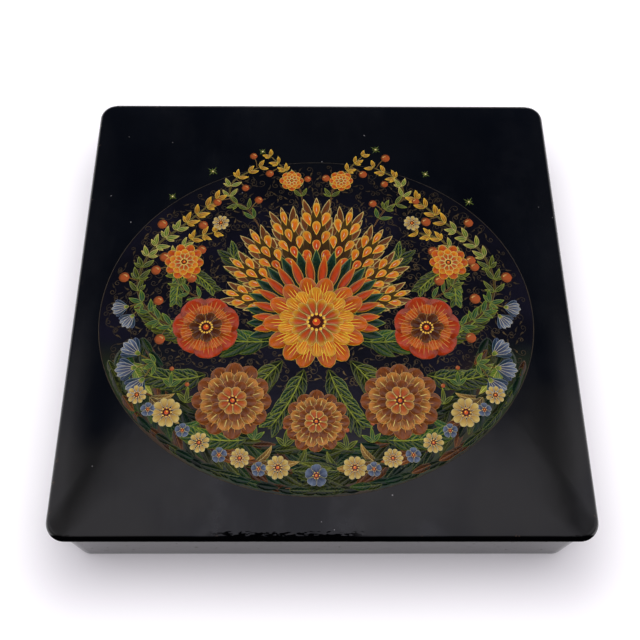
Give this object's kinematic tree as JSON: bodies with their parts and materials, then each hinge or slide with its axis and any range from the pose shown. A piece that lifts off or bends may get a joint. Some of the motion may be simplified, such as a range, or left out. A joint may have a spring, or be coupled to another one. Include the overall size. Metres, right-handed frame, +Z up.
{
  "type": "lacquer box",
  "caption": "Shallow square papier-mache box in black lacquer, with a cushion-topped, painted lid hinged along the back edge.",
  "frame": {"origin": "middle of the underside of the base, on the surface the box stands on", "axes": "+Z up through the lid, +Y towards the hinge at the back, +X to the right seen from the front"},
  "size_m": [0.17, 0.166, 0.0368],
  "materials": {
    "case_lacquer": "gloss black lacquer over pasted paper board, red lacquer inside",
    "lid_lacquer": "gloss black lacquer over pasted paper board",
    "inner_lacquer": "gloss red lacquer",
    "hinge_lacquer": "gloss black lacquer",
    "pin_steel": "plain drawn wire",
    "tempera_paint": "tempera painting under clear lacquer",
    "gilt_paint": "powdered-gold paint lines under clear lacquer"
  },
  "bodies": {
    "case": {"base_plate": "case_lacquer", "body_walls": "case_lacquer", "hinge_knuckle_left": "hinge_lacquer", "hinge_knuckle_right": "hinge_lacquer", "hinge_pin": "pin_steel"},
    "lid": {"lid_plate": "lid_lacquer", "lid_locating_frame": "inner_lacquer", "hinge_knuckle_lid": "hinge_lacquer"}
  },
  "joints": [
    {"name": "lid_hinge", "type": "hinge", "parent": "case", "child": "lid", "pos_m": [0, 0.0802, 0.028], "axis": [-1, 0, 0], "range_deg": [0, 110]}
  ]
}
